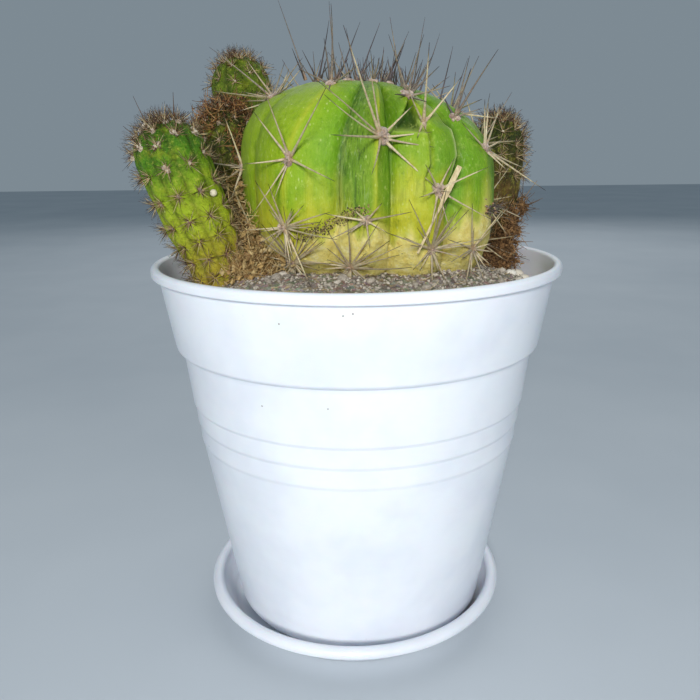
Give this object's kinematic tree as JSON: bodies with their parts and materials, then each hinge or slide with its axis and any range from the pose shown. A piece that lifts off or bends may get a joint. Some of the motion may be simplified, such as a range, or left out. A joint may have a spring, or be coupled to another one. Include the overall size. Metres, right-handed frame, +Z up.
{
  "type": "potted cactus cluster",
  "caption": "Round ribbed globe cactus with star-shaped spines and finely spined columns round it, in gritty soil in a white plastic pot on its saucer.",
  "frame": {"origin": "on the surface that the saucer stands on, on the pot's axis", "axes": "+Z up along the pot's axis, -Y towards the front of the picture, +X to its right"},
  "size_m": [0.119, 0.1152, 0.1806],
  "materials": {
    "white_plastic": "satin, moulded",
    "soil": "matt, gritty",
    "globe_skin": "satin, waxy",
    "column_skin_green": "matt, waxy",
    "column_skin_dark": "matt, waxy",
    "column_skin_olive": "matt, waxy",
    "column_skin_brown": "matt, waxy",
    "dry_tissue": "matt, corky",
    "straw": "matt, dry",
    "spines": "satin, horny"
  },
  "bodies": {
    "root": {"saucer": "white_plastic", "pot": "white_plastic", "soil": "soil", "globe_cactus": "globe_skin", "stem_front_left": "column_skin_green", "stem_left": "column_skin_dark", "stem_back_left": "column_skin_olive", "stem_right": "column_skin_brown", "withered_offset": "dry_tissue", "dry_blade": "straw"}
  },
  "joints": []
}
